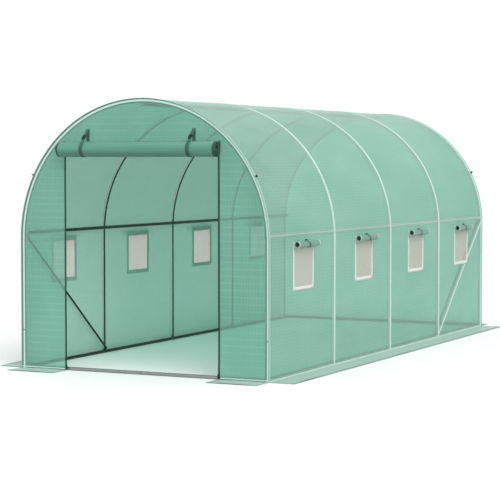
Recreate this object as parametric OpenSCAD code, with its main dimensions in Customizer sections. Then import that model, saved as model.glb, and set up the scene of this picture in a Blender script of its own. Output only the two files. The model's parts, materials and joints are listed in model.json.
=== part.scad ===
// Walk-in polytunnel greenhouse: five steel hoops on a ground frame, a woven sheet cover with
// a plain back wall, a front wall with its door rolled up, and eight mesh windows.
// X runs across, Y runs along the tunnel with the open doorway facing -Y, and Z is up.
// The origin lies on the ground, in the middle of the tunnel.

/* [Tunnel] */
// Distance between the two end hoops, from tube middle to tube middle
tunnel_l = 4500; // [3000:50:6500]
// Width over the outside of the hoop legs
tunnel_w = 2000; // [1600:10:2600]
// Height of the straight legs, up to where the arch starts
leg_h = 950; // [750:10:1300]
// Number of hoops, with one bay and one pair of windows between each two
hoop_count = 5; // [3:1:7]

/* [Frame tubes] */
// Diameter of the hoops, rails and ground frame
tube_d = 25; // [16:1:38]
// Diameter of the two corner braces
brace_d = 16; // [10:1:25]
// Height of the side rails above the start of the arch
rail_rise = 40; // [20:5:120]
// Diameter of the knobs on the bolts through the end hoops
knob_d = 18; // [8:1:24]
// Length of those knobs
knob_l = 20; // [10:1:40]
// Angle of the bolts above the start of the arch
knob_angle = 27; // [15:1:60]

/* [Cover] */
// Thickness of the cover sheet
cover_t = 2; // [1:0.5:4]
// Width of the flaps that lie on the ground
skirt_w = 195; // [80:5:300]

/* [Door] */
// Width of the doorway
door_w = 1230; // [700:10:1300]
// Height of the front wall above the doorway
door_head = 300; // [200:10:450]
// Least width of front wall left between the doorway and the arch
door_margin = 50; // [30:5:120]
// Diameter of the rolled-up door
door_roll_d = 107; // [70:1:140]
// How far the roll reaches past each side of the doorway
door_roll_over = 20; // [0:5:60]
// Depth of the middle of the roll below the top of the doorway
door_roll_drop = 59; // [40:1:90]
// Width of the webbing straps
webbing_w = 25; // [15:1:50]
// Thickness of the webbing
webbing_t = 2; // [1:0.5:3]
// Distance of each strap from the middle of the doorway
strap_x = 428; // [200:1:500]
// Height from the top of the doorway up to where a strap is sewn on
strap_rise = 83; // [50:1:120]
// Width of one half of a door zip
zip_w = 14; // [8:1:30]
// Thickness of the door zips
zip_t = 1.5; // [1:0.5:2]
// Height of the lower ends of the door zips above the ground
zip_lift = 10; // [2:1:40]

/* [Windows] */
// Width of a window over its border tape
window_w = 360; // [200:5:600]
// Height of a window over its border tape
window_h = 345; // [200:5:500]
// Width of the border tape
border_w = 30; // [15:1:50]
// Thickness of the border tape
border_t = 1; // [0.5:0.5:2]
// Thickness of the mesh screen
screen_t = 1; // [0.5:0.5:2]
// Distance of the top of the windows below the start of the arch
window_drop = 9; // [5:1:100]
// Diameter of a rolled-up window flap
flap_roll_d = 50; // [30:1:80]
// Width of the tie around a rolled-up flap
tie_w = 20; // [10:1:40]
// Thickness of that tie
tie_t = 1.5; // [1:0.5:3]

/* [Hidden] */
$fn = 96;
// Gap between pieces that only lie against each other
fit_gap = 0.3;
// Sides of the large arcs of the end walls, so many that they stay within fit_gap of true circles
end_arc_sides = 192;
// Angle taken by each of the four slices of the roof
roof_slice_angle = 45;
// How many times a cut-out is as thick as the sheet that it goes through
cut_through = 3;

half_l = tunnel_l / 2;
tube_r = tube_d / 2;
arch_r = tunnel_w / 2 - tube_r;
bay_l = tunnel_l / (hoop_count - 1);
apex_z = leg_h + arch_r;
rail_z = leg_h + rail_rise;
// Rails lie against the inside of the hoops, this far from the axis of the arch
rail_r = arch_r - tube_d - fit_gap;
rail_x = sqrt(rail_r * rail_r - rail_rise * rail_rise);
rail_l = tunnel_l + tube_d;

cover_in_r = arch_r + tube_r + fit_gap;
cover_out_r = cover_in_r + cover_t;
cover_l = tunnel_l + tube_d + 2 * fit_gap;
// Outer faces of the end walls
end_y = cover_l / 2 + cover_t;

door_top = leg_h + cover_out_r - door_head;
roll_r = door_roll_d / 2;
roll_z = door_top - door_roll_drop;
strap_in_r = roll_r + fit_gap;
strap_out_r = strap_in_r + webbing_t;
roll_y = -end_y - fit_gap - strap_out_r;
strap_top_z = door_top + strap_rise;
// Length and thickness of a strap's buckle
buckle_l = 30;
buckle_t = 9;
// Place of the buckle along the front run of the strap, as a share of that run
buckle_place = 0.55;

window_top = leg_h - window_drop;
window_sill = window_top - window_h;
flap_r = flap_roll_d / 2;
flap_x = cover_out_r + border_t + 2 * fit_gap + tie_t + flap_r;
flap_z = window_top - border_w / 2;
// Length and diameter of the toggle on a window's tie
toggle_l = 26;
toggle_d = 8;

steel = "#D9DEDA";
roof_green = "#A3CDBE";
wall_green = "#8CC1AF";
roll_green = "#5E9A82";
webbing_green = "#2F5A4A";
tape_white = "#E8ECE6";
screen_beige = "#CFC9BE";
plastic_black = "#1B1D1C";

hoop_nodes = [for (i = [1:hoop_count]) str("hoop_", i)];

function hoop_y(i) = -half_l + (i - 1) * bay_l;
function bay_y(i) = -half_l + (i - 0.5) * bay_l;

// A round tube of length l along Y, centred on the origin
module tube_along_y(l, d) {
    rotate([90, 0, 0]) cylinder(h = l, d = d, center = true);
}

// A round tube of length l along X, centred on the origin
module tube_along_x(l, d) {
    rotate([0, 90, 0]) cylinder(h = l, d = d, center = true);
}

// Everything drawn is turned half round the upright axis, for the back end
module at_back() {
    rotate([0, 0, 180]) children();
}

// One bent tube: two straight legs and a half-round arch
module hoop(i) {
    color(steel) translate([0, hoop_y(i), 0]) {
        for (side = [-1, 1]) {
            translate([side * arch_r, 0, 0]) cylinder(h = leg_h, d = tube_d);
        }
        translate([0, 0, leg_h]) rotate([90, 0, 0])
            rotate_extrude(angle = 180) translate([arch_r, 0]) circle(d = tube_d);
    }
}

// The rail under the tops of the hoops
module ridge_rail() {
    color(steel) translate([0, 0, leg_h + rail_r]) tube_along_y(rail_l, tube_d);
}

// A rail along the inside of one side, just above the legs
module side_rail(side) {
    color(steel) translate([side * rail_x, 0, rail_z]) tube_along_y(rail_l, tube_d);
}

// A ground tube along one side, between the two end tubes
module ground_rail_side(side) {
    color(steel) translate([side * rail_r, 0, tube_r])
        tube_along_y(tunnel_l - tube_d - 2 * fit_gap, tube_d);
}

// A ground tube across one end, between the two legs of the end hoop
module ground_rail_end(y) {
    color(steel) translate([0, y, tube_r])
        tube_along_x(2 * (arch_r - tube_r - fit_gap), tube_d);
}

// A slanted brace inside the first bay on the left, from under the side rail at the end hoop
// down to just above the ground rail at the next hoop
module corner_brace() {
    high_z = rail_z - tube_r - brace_d / 2 - fit_gap;
    low_z = tube_d + brace_d / 2 + fit_gap;
    rise = high_z - low_z;
    color(steel)
        translate([-(arch_r - tube_r - fit_gap - brace_d / 2), -half_l + bay_l / 2, (high_z + low_z) / 2])
        rotate([-atan2(rise, bay_l), 0, 0]) tube_along_y(sqrt(rise * rise + bay_l * bay_l), brace_d);
}

// Knobs on the bolts that pin the sheet to the end hoops, standing out of the cover
module bolt_knobs() {
    color(plastic_black) for (end = [-1, 1], side = [-1, 1]) {
        translate([0, end * half_l, leg_h]) rotate([0, -side * knob_angle, 0])
            translate([side * (cover_out_r + fit_gap), 0, 0]) rotate([0, side * 90, 0])
            cylinder(h = knob_l, d = knob_d);
    }
}

// A slice of the curved roof, counted from 0 at the right-hand start of the arch
module roof_slice(place) {
    color(roof_green) translate([0, 0, leg_h]) rotate([90, 0, 0])
        rotate([0, 0, place * roof_slice_angle]) rotate_extrude(angle = roof_slice_angle)
        translate([cover_in_r, -cover_l / 2]) square([cover_t, cover_l]);
}

// The upright sheet of one side, with its window openings
module wall(side) {
    color(roof_green) difference() {
        translate([side * (cover_in_r + cover_t / 2) - cover_t / 2, -cover_l / 2, 0])
            cube([cover_t, cover_l, leg_h]);
        at_windows(side) window_plate(border_w, 0, cut_through * cover_t);
    }
}

// Children placed at each window of one side, with X outwards from the outer face of the wall
module at_windows(side) {
    for (i = [1:hoop_count - 1]) {
        translate([side * cover_out_r, bay_y(i), window_sill])
            rotate([0, 0, side < 0 ? 180 : 0]) children();
    }
}

// A plate as large as a window, set in from its outline, centred on x
module window_plate(inset, x, t) {
    translate([x - t / 2, -window_w / 2 + inset, inset])
        cube([t, window_w - 2 * inset, window_h - 2 * inset]);
}

// Outline of an end wall: a rectangle under a half circle
module end_outline(r) {
    intersection() {
        union() {
            translate([-r, 0]) square([2 * r, leg_h]);
            translate([0, leg_h]) circle(r = r, $fn = end_arc_sides);
        }
        translate([-r, 0]) square([2 * r, leg_h + r]);
    }
}

// Outline of the doorway, whose top corners follow the arch where it comes near
module doorway_outline() {
    intersection() {
        translate([-door_w / 2, 0]) square([door_w, door_top]);
        end_outline(cover_out_r - door_margin);
    }
}

// Draws a flat outline as a sheet on the front end of the cover
module front_sheet() {
    translate([0, -cover_l / 2, 0]) rotate([90, 0, 0]) linear_extrude(cover_t) children();
}

// The part of the front wall beside the doorway
module end_panel_side(side) {
    color(wall_green) front_sheet() intersection() {
        end_outline(cover_out_r);
        translate([side * (door_w / 2 + tunnel_w) - tunnel_w, 0])
            square([2 * tunnel_w, leg_h + tunnel_w]);
    }
}

// The part of the front wall over the doorway
module end_panel_top() {
    color(wall_green) front_sheet() difference() {
        intersection() {
            end_outline(cover_out_r);
            translate([-door_w / 2, 0]) square([door_w, leg_h + tunnel_w]);
        }
        doorway_outline();
    }
}

// The plain wall of the back end, in one sheet
module back_wall() {
    color(wall_green) front_sheet() end_outline(cover_out_r);
}

// The zip halves left along the two edges of the open doorway
module door_zips() {
    color(webbing_green) for (side = [-1, 1]) {
        translate([side * (door_w / 2 + zip_w / 2) - zip_w / 2, -end_y - zip_t, zip_lift])
            cube([zip_w, zip_t, door_top - zip_lift]);
    }
}

// The door rolled up under the top of the doorway
module door_roll() {
    color(roll_green) translate([0, roll_y, roll_z])
        tube_along_x(door_w + 2 * door_roll_over, door_roll_d);
}

// Outline of a strap loop around the roll's axis, from the side, drawn up to a narrow tip
module strap_outline(r, tip_r, tip_z) {
    hull() {
        circle(r = r);
        translate([r - tip_r, tip_z]) circle(r = tip_r);
    }
}

// Webbing loops sewn to the front wall above the doorway, with the roll lying in them
module door_straps() {
    tip_z = strap_top_z - roll_z;
    color(webbing_green) for (side = [-1, 1]) {
        translate([side * strap_x, roll_y, roll_z]) rotate([90, 0, 90])
            linear_extrude(webbing_w, center = true) difference() {
                strap_outline(strap_out_r, webbing_t / 2, tip_z);
                strap_outline(strap_in_r, fit_gap, tip_z - 3 * webbing_t);
            }
    }
}

// The buckles on the front runs of the two straps, which lean from the tip out to the roll
module door_buckles() {
    tip_r = webbing_t / 2;
    reach_y = strap_out_r - tip_r;
    reach_z = strap_top_z - roll_z;
    span = sqrt(reach_y * reach_y + reach_z * reach_z);
    lean = atan2(reach_y, reach_z) + asin(reach_y / span);
    run_l = sqrt(span * span - reach_y * reach_y);
    buckle_w = webbing_w + 2 * webbing_t;
    color(plastic_black) for (side = [-1, 1]) {
        translate([side * strap_x, roll_y + reach_y, strap_top_z]) rotate([-lean, 0, 0])
            translate([-buckle_w / 2, -tip_r - fit_gap - buckle_t, -run_l * buckle_place - buckle_l / 2])
            cube([buckle_w, buckle_t, buckle_l]);
    }
}

// A flap lying on the ground along one side
module skirt_side(side) {
    color(roof_green) translate([side * (cover_out_r + skirt_w / 2) - skirt_w / 2, -end_y, 0])
        cube([skirt_w, 2 * end_y, cover_t]);
}

// A flap lying on the ground in front of an end wall, between two places across the tunnel
module skirt_end(from, to) {
    color(wall_green) translate([from, -end_y - skirt_w, 0]) cube([to - from, skirt_w, cover_t]);
}

// White tape sewn round each window
module window_borders() {
    color(tape_white) for (side = [-1, 1]) {
        at_windows(side) difference() {
            window_plate(0, border_t / 2, border_t);
            window_plate(border_w, border_t / 2, cut_through * border_t);
        }
    }
}

// Insect mesh in each window opening
module window_screens() {
    color(screen_beige) for (side = [-1, 1]) {
        at_windows(side) window_plate(border_w + fit_gap, -cover_t / 2, screen_t);
    }
}

// Each window's own flap, rolled up above it
module window_flaps() {
    color(roll_green) for (side = [-1, 1]) {
        at_windows(side) translate([flap_x - cover_out_r, 0, flap_z - window_sill])
            tube_along_y(window_w, flap_roll_d);
    }
}

// A tie round the middle of each rolled flap, with a toggle on top
module window_ties() {
    tie_in_r = flap_r + fit_gap;
    color(webbing_green) for (side = [-1, 1]) {
        at_windows(side) translate([flap_x - cover_out_r, 0, flap_z - window_sill]) {
            rotate([90, 0, 0]) difference() {
                cylinder(h = tie_w, r = tie_in_r + tie_t, center = true);
                cylinder(h = cut_through * tie_w, r = tie_in_r, center = true);
            }
            translate([0, 0, tie_in_r + tie_t + toggle_d / 2 - fit_gap])
                tube_along_y(toggle_l, toggle_d);
        }
    }
}

for (i = [1:hoop_count]) {
    hoop(i);
}
ridge_rail();
side_rail(-1);  // side_rail_left
side_rail(1);  // side_rail_right
ground_rail_side(-1);  // ground_rail_left
ground_rail_side(1);  // ground_rail_right
ground_rail_end(-half_l);  // ground_rail_front
ground_rail_end(half_l);  // ground_rail_back
corner_brace();  // brace_front_left
at_back() corner_brace();  // brace_back_right
bolt_knobs();
roof_slice(0);  // roof_right_lower
roof_slice(1);  // roof_right_upper
roof_slice(2);  // roof_left_upper
roof_slice(3);  // roof_left_lower
wall(-1);  // wall_left
wall(1);  // wall_right
end_panel_side(-1);  // front_panel_left
end_panel_side(1);  // front_panel_right
end_panel_top();  // front_panel_top
at_back() back_wall();
door_zips();
door_roll();
door_straps();
door_buckles();
skirt_side(-1);  // skirt_left
skirt_side(1);  // skirt_right
skirt_end(-cover_out_r, -door_w / 2);  // skirt_front_left
skirt_end(door_w / 2, cover_out_r);  // skirt_front_right
at_back() skirt_end(-cover_out_r, cover_out_r);  // skirt_back
window_borders();
window_screens();
window_flaps();
window_ties();
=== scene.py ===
"""Polytunnel greenhouse: the woven cover, rolled-up door, windows and fittings on the steel frame.

All lengths are in metres in the frame's own axes: X across, Y along, Z up, open doorway at -Y.
"""
import json
import math

import bmesh
import bpy
from mathutils import Matrix, Vector, noise


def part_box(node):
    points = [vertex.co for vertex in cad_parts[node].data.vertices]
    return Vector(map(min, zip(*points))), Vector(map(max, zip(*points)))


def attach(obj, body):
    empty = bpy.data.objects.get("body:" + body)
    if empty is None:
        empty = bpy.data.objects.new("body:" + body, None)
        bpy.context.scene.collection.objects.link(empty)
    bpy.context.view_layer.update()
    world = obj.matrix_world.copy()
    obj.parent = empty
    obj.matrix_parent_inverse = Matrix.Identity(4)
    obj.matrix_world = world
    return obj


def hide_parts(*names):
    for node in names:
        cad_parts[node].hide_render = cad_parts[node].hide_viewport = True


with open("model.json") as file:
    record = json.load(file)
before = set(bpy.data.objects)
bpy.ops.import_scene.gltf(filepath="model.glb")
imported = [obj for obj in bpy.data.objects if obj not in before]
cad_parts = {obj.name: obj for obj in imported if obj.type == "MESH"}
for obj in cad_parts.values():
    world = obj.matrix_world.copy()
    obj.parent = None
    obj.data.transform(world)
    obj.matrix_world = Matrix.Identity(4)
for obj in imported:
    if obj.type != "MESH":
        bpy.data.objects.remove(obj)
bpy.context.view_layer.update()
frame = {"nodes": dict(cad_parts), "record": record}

scene = bpy.context.scene
X, Y, Z = Vector((1, 0, 0)), Vector((0, 1, 0)), Vector((0, 0, 1))
AT_BACK = Matrix.Rotation(math.pi, 4, "Z")


# ------------------------------------------------------------------ sizes read from the frame

def middle(node):
    """The middle of a CAD node's box."""
    low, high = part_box(node)
    return (low + high) / 2


HOOPS = sorted(name for name in frame["nodes"] if name.startswith("hoop_"))
HOOP_YS = [middle(name).y for name in HOOPS]
BAY = HOOP_YS[1] - HOOP_YS[0]
BAYS = len(HOOPS) - 1
BAY_YS = [(a + b) / 2 for a, b in zip(HOOP_YS, HOOP_YS[1:])]
hoop_low, hoop_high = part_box(HOOPS[0])
TUBE_R = (hoop_high.y - hoop_low.y) / 2
ARCH_R = hoop_high.x - TUBE_R

wall_low, wall_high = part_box("wall_right")
LEG_H = wall_high.z
SKIN_R = (wall_low.x + wall_high.x) / 2
KNOB_FOOT = wall_high.x + 0.0003
SKIN_END = wall_high.y
SKIN_PATH = 2 * LEG_H + math.pi * SKIN_R
END_Y = -middle("front_panel_left").y
END_FACE = -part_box("front_panel_left")[0].y
FLAP_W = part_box("skirt_right")[1].x - SKIN_R

ZIP_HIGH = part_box("door_zips")[1]
ZIP_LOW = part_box("door_zips")[0].z
DOOR_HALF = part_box("front_panel_right")[0].x
DOOR_TOP = ZIP_HIGH.z
ZIP_W = ZIP_HIGH.x - DOOR_HALF
ROLL_MID = middle("door_roll")
roll_low, roll_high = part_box("door_roll")
ROLL_R = (roll_high.z - roll_low.z) / 2
ROLL_HALF = roll_high.x
strap_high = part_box("door_straps")[1]
STRAP_W = 0.025
STRAP_X = strap_high.x - STRAP_W / 2
BUCKLE_W = 2 * (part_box("door_buckles")[1].x - STRAP_X)
BUCKLE_PLACE = 0.55     # share of the strap's front run, from its tip down
JOINT_Z = 0.28          # where one length of leg tube slips into the next

border_low, border_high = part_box("window_borders")
screen_low, screen_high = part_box("window_screens")
flap_low, flap_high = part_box("window_flaps")
ALL_BAYS = (BAYS - 1) * BAY
WINDOW_HALF = (border_high.y - border_low.y - ALL_BAYS) / 2
HOLE_HALF = (screen_high.y - screen_low.y - ALL_BAYS) / 2
FLAP_ROLL_R = (flap_high.z - flap_low.z) / 2
FLAP_X = flap_high.x - FLAP_ROLL_R
FLAP_Z = (flap_high.z + flap_low.z) / 2


# ------------------------------------------------------------------ small helpers

def hex_colour(text):
    """A colour written as sRGB hex, as the linear colour that a shader socket takes."""
    channels = [int(text[i:i + 2], 16) / 255 for i in (1, 3, 5)]
    return (*(c / 12.92 if c <= 0.04045 else ((c + 0.055) / 1.055) ** 2.4 for c in channels), 1.0)


def ease(low, high, value):
    """0 below low, 1 above high, and smooth between."""
    t = min(1.0, max(0.0, (value - low) / (high - low)))
    return t * t * (3 - 2 * t)


def ripple(a, b, c=0.0):
    """Smooth noise from -1 to 1, the same on each run."""
    return noise.noise(Vector((a, b, c)))


def spread(start, end, step, *fixed):
    """Positions from start to end about a step apart, with each fixed position among them."""
    stops = sorted({start, end, *(f for f in fixed if start < f < end)})
    out = [stops[0]]
    for a, b in zip(stops, stops[1:]):
        count = max(1, round((b - a) / step))
        out += [a + (b - a) * i / count for i in range(1, count + 1)]
    return out


def run_lengths(points):
    """Length along a line of points, at each of them."""
    out = [0.0]
    for a, b in zip(points, points[1:]):
        out.append(out[-1] + (Vector(b) - Vector(a)).length)
    return out


def finished_mesh(name, verts, faces, flat=None, solid=False):
    """A smooth mesh with a UV map in metres, one UV point for each vertex, and no collapsed faces."""
    mesh = bpy.data.meshes.new(name)
    mesh.from_pydata([tuple(v) for v in verts], [], faces)
    layer = mesh.uv_layers.new(name="cut")
    if flat:
        for loop in mesh.loops:
            layer.data[loop.index].uv = flat[loop.vertex_index]
    tidy = bmesh.new()
    tidy.from_mesh(mesh)
    bmesh.ops.remove_doubles(tidy, verts=tidy.verts, dist=1e-5)
    bmesh.ops.dissolve_degenerate(tidy, edges=tidy.edges, dist=1e-6)
    if solid:
        bmesh.ops.recalc_face_normals(tidy, faces=tidy.faces)
    tidy.to_mesh(mesh)
    tidy.free()
    mesh.shade_smooth()
    return mesh


def sheet_mesh(name, us, vs, point, cut=lambda u, v: (u, v), keep=lambda u, v: True, flip=False):
    """A sheet as a grid. point(u, v) places a grid point, cut(u, v) is its place on the flat cut, and
    keep(u, v) says whether there is cloth in the middle of a cell."""
    index, verts, flat, faces = {}, [], [], []

    def corner(i, j):
        if (i, j) not in index:
            index[i, j] = len(verts)
            verts.append(point(us[i], vs[j]))
            flat.append(cut(us[i], vs[j]))
        return index[i, j]

    for i in range(len(us) - 1):
        for j in range(len(vs) - 1):
            if keep((us[i] + us[i + 1]) / 2, (vs[j] + vs[j + 1]) / 2):
                ring = [corner(i, j), corner(i + 1, j), corner(i + 1, j + 1), corner(i, j + 1)]
                faces.append(ring[::-1] if flip else ring)
    return finished_mesh(name, verts, faces, flat)


def swept_mesh(name, path, sides, ups, profile, closed=False):
    """A band or cord: the profile's (across, out) points carried along the path."""
    count = len(profile)
    around = run_lengths([Vector((*p, 0)) for p in profile])
    rings = list(path) + ([path[0]] if closed else [])
    along = run_lengths(rings)
    verts, flat, faces = [], [], []
    for k, spot in enumerate(rings):
        side, up = sides[k % len(path)], ups[k % len(path)]
        for n, (across, out) in enumerate(profile):
            verts.append(spot + side * across + up * out)
            flat.append((around[n], along[k]))
    for k in range(len(rings) - 1):
        for n in range(count):
            m = (n + 1) % count
            faces.append((k * count + n, k * count + m, (k + 1) * count + m, (k + 1) * count + n))
    if not closed:
        faces.append(tuple(range(count)))
        faces.append(tuple((len(rings) - 1) * count + n for n in range(count)))
    return finished_mesh(name, verts, faces, flat, solid=True)


def straight_sweep(name, path, side, up, profile):
    """A swept band or cord that keeps facing one way."""
    return swept_mesh(name, path, [side] * len(path), [up] * len(path), profile)


def turned_mesh(name, outline, sides=20):
    """A turned solid round Z, from an outline of (radius, height) points that starts and ends on Z."""
    verts, faces = [], []
    for radius, height in outline:
        for n in range(sides):
            turn = 2 * math.pi * n / sides
            verts.append((radius * math.cos(turn), radius * math.sin(turn), height))
    for k in range(len(outline) - 1):
        for n in range(sides):
            m = (n + 1) % sides
            faces.append((k * sides + n, k * sides + m, (k + 1) * sides + m, (k + 1) * sides + n))
    return finished_mesh(name, verts, faces, solid=True)


def mirrored(lower):
    """A turned solid's outline from its lower half, which may end in the middle plane."""
    return lower + [(radius, -height) for radius, height in reversed(lower) if height]


def rounded_box(size, centre, edge):
    """A box with rounded edges."""
    shape = bmesh.new()
    bmesh.ops.create_cube(shape, size=1.0)
    bmesh.ops.scale(shape, vec=size, verts=shape.verts)
    bmesh.ops.bevel(shape, geom=shape.edges, offset=edge, segments=2, affect="EDGES", profile=0.5)
    bmesh.ops.translate(shape, vec=centre, verts=shape.verts)
    mesh = bpy.data.meshes.new("rounded_box")
    shape.to_mesh(mesh)
    shape.free()
    mesh.uv_layers.new(name="cut")
    return mesh


def band_profile(width, thick):
    """A flat band's section with rounded edges."""
    w, t = width / 2, thick / 2
    return [(-w, 0), (-w + t, -t), (w - t, -t), (w, 0), (w - t, t), (-w + t, t)]


def round_profile(radius, count=10):
    """A round cord's section."""
    turn = 2 * math.pi / count
    return [(radius * math.cos(n * turn), radius * math.sin(n * turn)) for n in range(count)]


def joined(name, meshes):
    """Several meshes as one, with their UV maps."""
    whole = bmesh.new()
    for mesh in meshes:
        whole.from_mesh(mesh)
    out = bpy.data.meshes.new(name)
    whole.to_mesh(out)
    whole.free()
    return out


def moved(mesh, matrix):
    """The mesh turned and placed."""
    mesh.transform(matrix)
    return mesh


def standing(spot, out, along):
    """The placing that sets an item's Z along out and its X as near as it can to along."""
    out = out.normalized()
    side = out.cross(along).normalized()
    return Matrix.Translation(spot) @ Matrix((side.cross(out), side, out)).transposed().to_4x4()


def piece(name, mesh, materials, stands_for=()):
    """A finished piece of the object, riding on its one body."""
    obj = bpy.data.objects.new(name, mesh)
    scene.collection.objects.link(obj)
    mesh.materials.clear()
    for material in materials:
        mesh.materials.append(material)
    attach(obj, "root")
    if stands_for:
        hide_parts(*stands_for)
    return obj


def thickened(obj, thick, offset=0.0):
    """Gives a sheet its thickness."""
    solid = obj.modifiers.new("thickness", "SOLIDIFY")
    solid.thickness = thick
    solid.offset = offset
    return obj


def add(tree, kind, sockets=None, **settings):
    """One node with its settings. A socket is given a value, a colour as hex text, or another node's
    output to link. A node alone stands for the output that it has in use."""
    made = tree.nodes.new(kind)
    for key, value in settings.items():
        setattr(made, key, value)
    for key, value in (sockets or {}).items():
        if isinstance(value, str) and value.startswith("#"):
            value = hex_colour(value)
        if isinstance(value, bpy.types.Node):
            value = next(output for output in value.outputs if output.enabled)
        if isinstance(value, bpy.types.NodeSocket):
            tree.links.new(value, made.inputs[key])
        else:
            made.inputs[key].default_value = value
    return made


# ------------------------------------------------------------------ rows of like things

def row_tree():
    """Sets copies of an item along a path. Each copy's X runs along the path and its Z points along
    the path's own "out" vector."""
    tree = bpy.data.node_groups.new("row_along_path", "GeometryNodeTree")
    for name, kind in (("Path", "NodeSocketGeometry"), ("Item", "NodeSocketObject"),
                       ("Spacing", "NodeSocketFloat"), ("Finish", "NodeSocketMaterial")):
        tree.interface.new_socket(name, in_out="INPUT", socket_type=kind)
    tree.interface.new_socket("Row", in_out="OUTPUT", socket_type="NodeSocketGeometry")
    given = add(tree, "NodeGroupInput").outputs
    curve = add(tree, "GeometryNodeMeshToCurve", {"Mesh": given["Path"]})
    spots = add(tree, "GeometryNodeResampleCurve",
                {"Curve": curve, "Length": given["Spacing"]}, mode="LENGTH")
    out = add(tree, "GeometryNodeInputNamedAttribute", {"Name": "out"}, data_type="FLOAT_VECTOR")
    along = add(tree, "GeometryNodeInputTangent")
    upright = add(tree, "FunctionNodeAlignRotationToVector", {"Vector": out}, axis="Z")
    turned = add(tree, "FunctionNodeAlignRotationToVector",
                 {"Rotation": upright, "Vector": along},
                 axis="X", pivot_axis="Z")
    item = add(tree, "GeometryNodeObjectInfo", {"Object": given["Item"]}, transform_space="ORIGINAL")
    copies = add(tree, "GeometryNodeInstanceOnPoints",
                 {"Points": spots, "Instance": item.outputs["Geometry"],
                  "Rotation": turned})
    solid = add(tree, "GeometryNodeRealizeInstances", {"Geometry": copies})
    finished = add(tree, "GeometryNodeSetMaterial", {"Geometry": solid, "Material": given["Finish"]})
    add(tree, "NodeGroupOutput", {"Row": finished})
    return tree


def row_mesh(name, paths, item, spacing, material):
    """A row of items along each path, as one plain mesh. A path is a list of (place, out) pairs."""
    verts, edges, outs = [], [], []
    for path in paths:
        first = len(verts)
        verts += [tuple(place) for place, out in path]
        outs += [c for place, out in path for c in out]
        edges += [(first + k, first + k + 1) for k in range(len(path) - 1)]
    line = bpy.data.meshes.new(name + "_path")
    line.from_pydata(verts, edges, [])
    line.attributes.new("out", "FLOAT_VECTOR", "POINT").data.foreach_set("vector", outs)
    carrier = bpy.data.objects.new(name + "_path", line)
    template = bpy.data.objects.new(name + "_item", item)
    scene.collection.objects.link(carrier)
    scene.collection.objects.link(template)
    modifier = carrier.modifiers.new("row", "NODES")
    modifier.node_group = ROW
    socket = {entry.name: entry.identifier for entry in ROW.interface.items_tree}
    modifier[socket["Item"]] = template
    modifier[socket["Spacing"]] = spacing
    modifier[socket["Finish"]] = material
    seen = carrier.evaluated_get(bpy.context.evaluated_depsgraph_get())
    mesh = bpy.data.meshes.new_from_object(seen)
    mesh.name = name
    bpy.data.objects.remove(carrier)
    bpy.data.objects.remove(template)
    return mesh


def stitch_item():
    """One lockstitch: a short raised length of thread."""
    length, radius, lift = 0.0048, 0.0005, 0.0003
    path = [X * (length * share) + Z * (lift * high)
            for share, high in ((-0.5, -1.5), (-0.3, 1.0), (0.3, 1.0), (0.5, -1.5))]
    return straight_sweep("stitch", path, Y, Z, round_profile(radius, 5))


# ------------------------------------------------------------------ materials

def new_material(name):
    """A material with an empty node tree, and the tree."""
    material = bpy.data.materials.new(name)
    material.use_nodes = True
    material.node_tree.nodes.clear()
    return material, material.node_tree


def off_value(tree, length, value):
    """How far a length is from a fixed value, either way."""
    past = add(tree, "ShaderNodeMath", {0: length, 1: value}, operation="SUBTRACT")
    return add(tree, "ShaderNodeMath", {0: past}, operation="ABSOLUTE")


def past_arch(tree, across, up):
    """How far a place lies outside the middle line of a hoop, from its X and its height."""
    above = add(tree, "ShaderNodeMath", {0: up, 1: LEG_H}, operation="SUBTRACT")
    rise = add(tree, "ShaderNodeMath", {0: above, 1: 0.0}, operation="MAXIMUM")
    place = add(tree, "ShaderNodeCombineXYZ", {"X": across, "Y": rise})
    reach = add(tree, "ShaderNodeVectorMath", {0: place}, operation="LENGTH")
    return add(tree, "ShaderNodeMath", {0: reach, 1: ARCH_R}, operation="SUBTRACT")


def waves(tree, length, pitch, shape="SINE"):
    """A wave from -1 to 1 with one crest for each pitch of a length."""
    turn = add(tree, "ShaderNodeMath", {0: length, 1: 2 * math.pi / pitch}, operation="MULTIPLY")
    return add(tree, "ShaderNodeMath", {0: turn}, operation=shape)


def off_cover_tubes(tree, split):
    """Distance on the cover that places its painted highlight lines: from the lit side of the nearest hoop,
    or from the fold at the ground, or from the upper edge of a side rail, whose painted line is thinner."""
    lit_side, thinner = 0.008, 0.0095
    rail_top = middle("side_rail_left").z + 0.7 * TUBE_R
    from_first = add(tree, "ShaderNodeMath", {0: split.outputs["Y"], 1: HOOP_YS[0] - lit_side},
                     operation="SUBTRACT")
    from_hoop = add(tree, "ShaderNodeMath", {0: from_first, 1: BAY / 2}, operation="PINGPONG")
    from_end = add(tree, "ShaderNodeMath", {0: split.outputs["X"], 1: SKIN_PATH / 2}, operation="PINGPONG")
    off_rail = add(tree, "ShaderNodeMath", {0: off_value(tree, from_end, rail_top), 1: thinner},
                   operation="ADD")
    nearest = [from_hoop, from_end, off_rail]
    for name, side in (("brace_front_left", -1), ("brace_back_right", 1)):
        nearest.append(off_brace(tree, split, name, side))
    while len(nearest) > 1:
        two = {0: nearest.pop(), 1: nearest.pop()}
        nearest.append(add(tree, "ShaderNodeMath", two, operation="MINIMUM"))
    return nearest[0]


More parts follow.
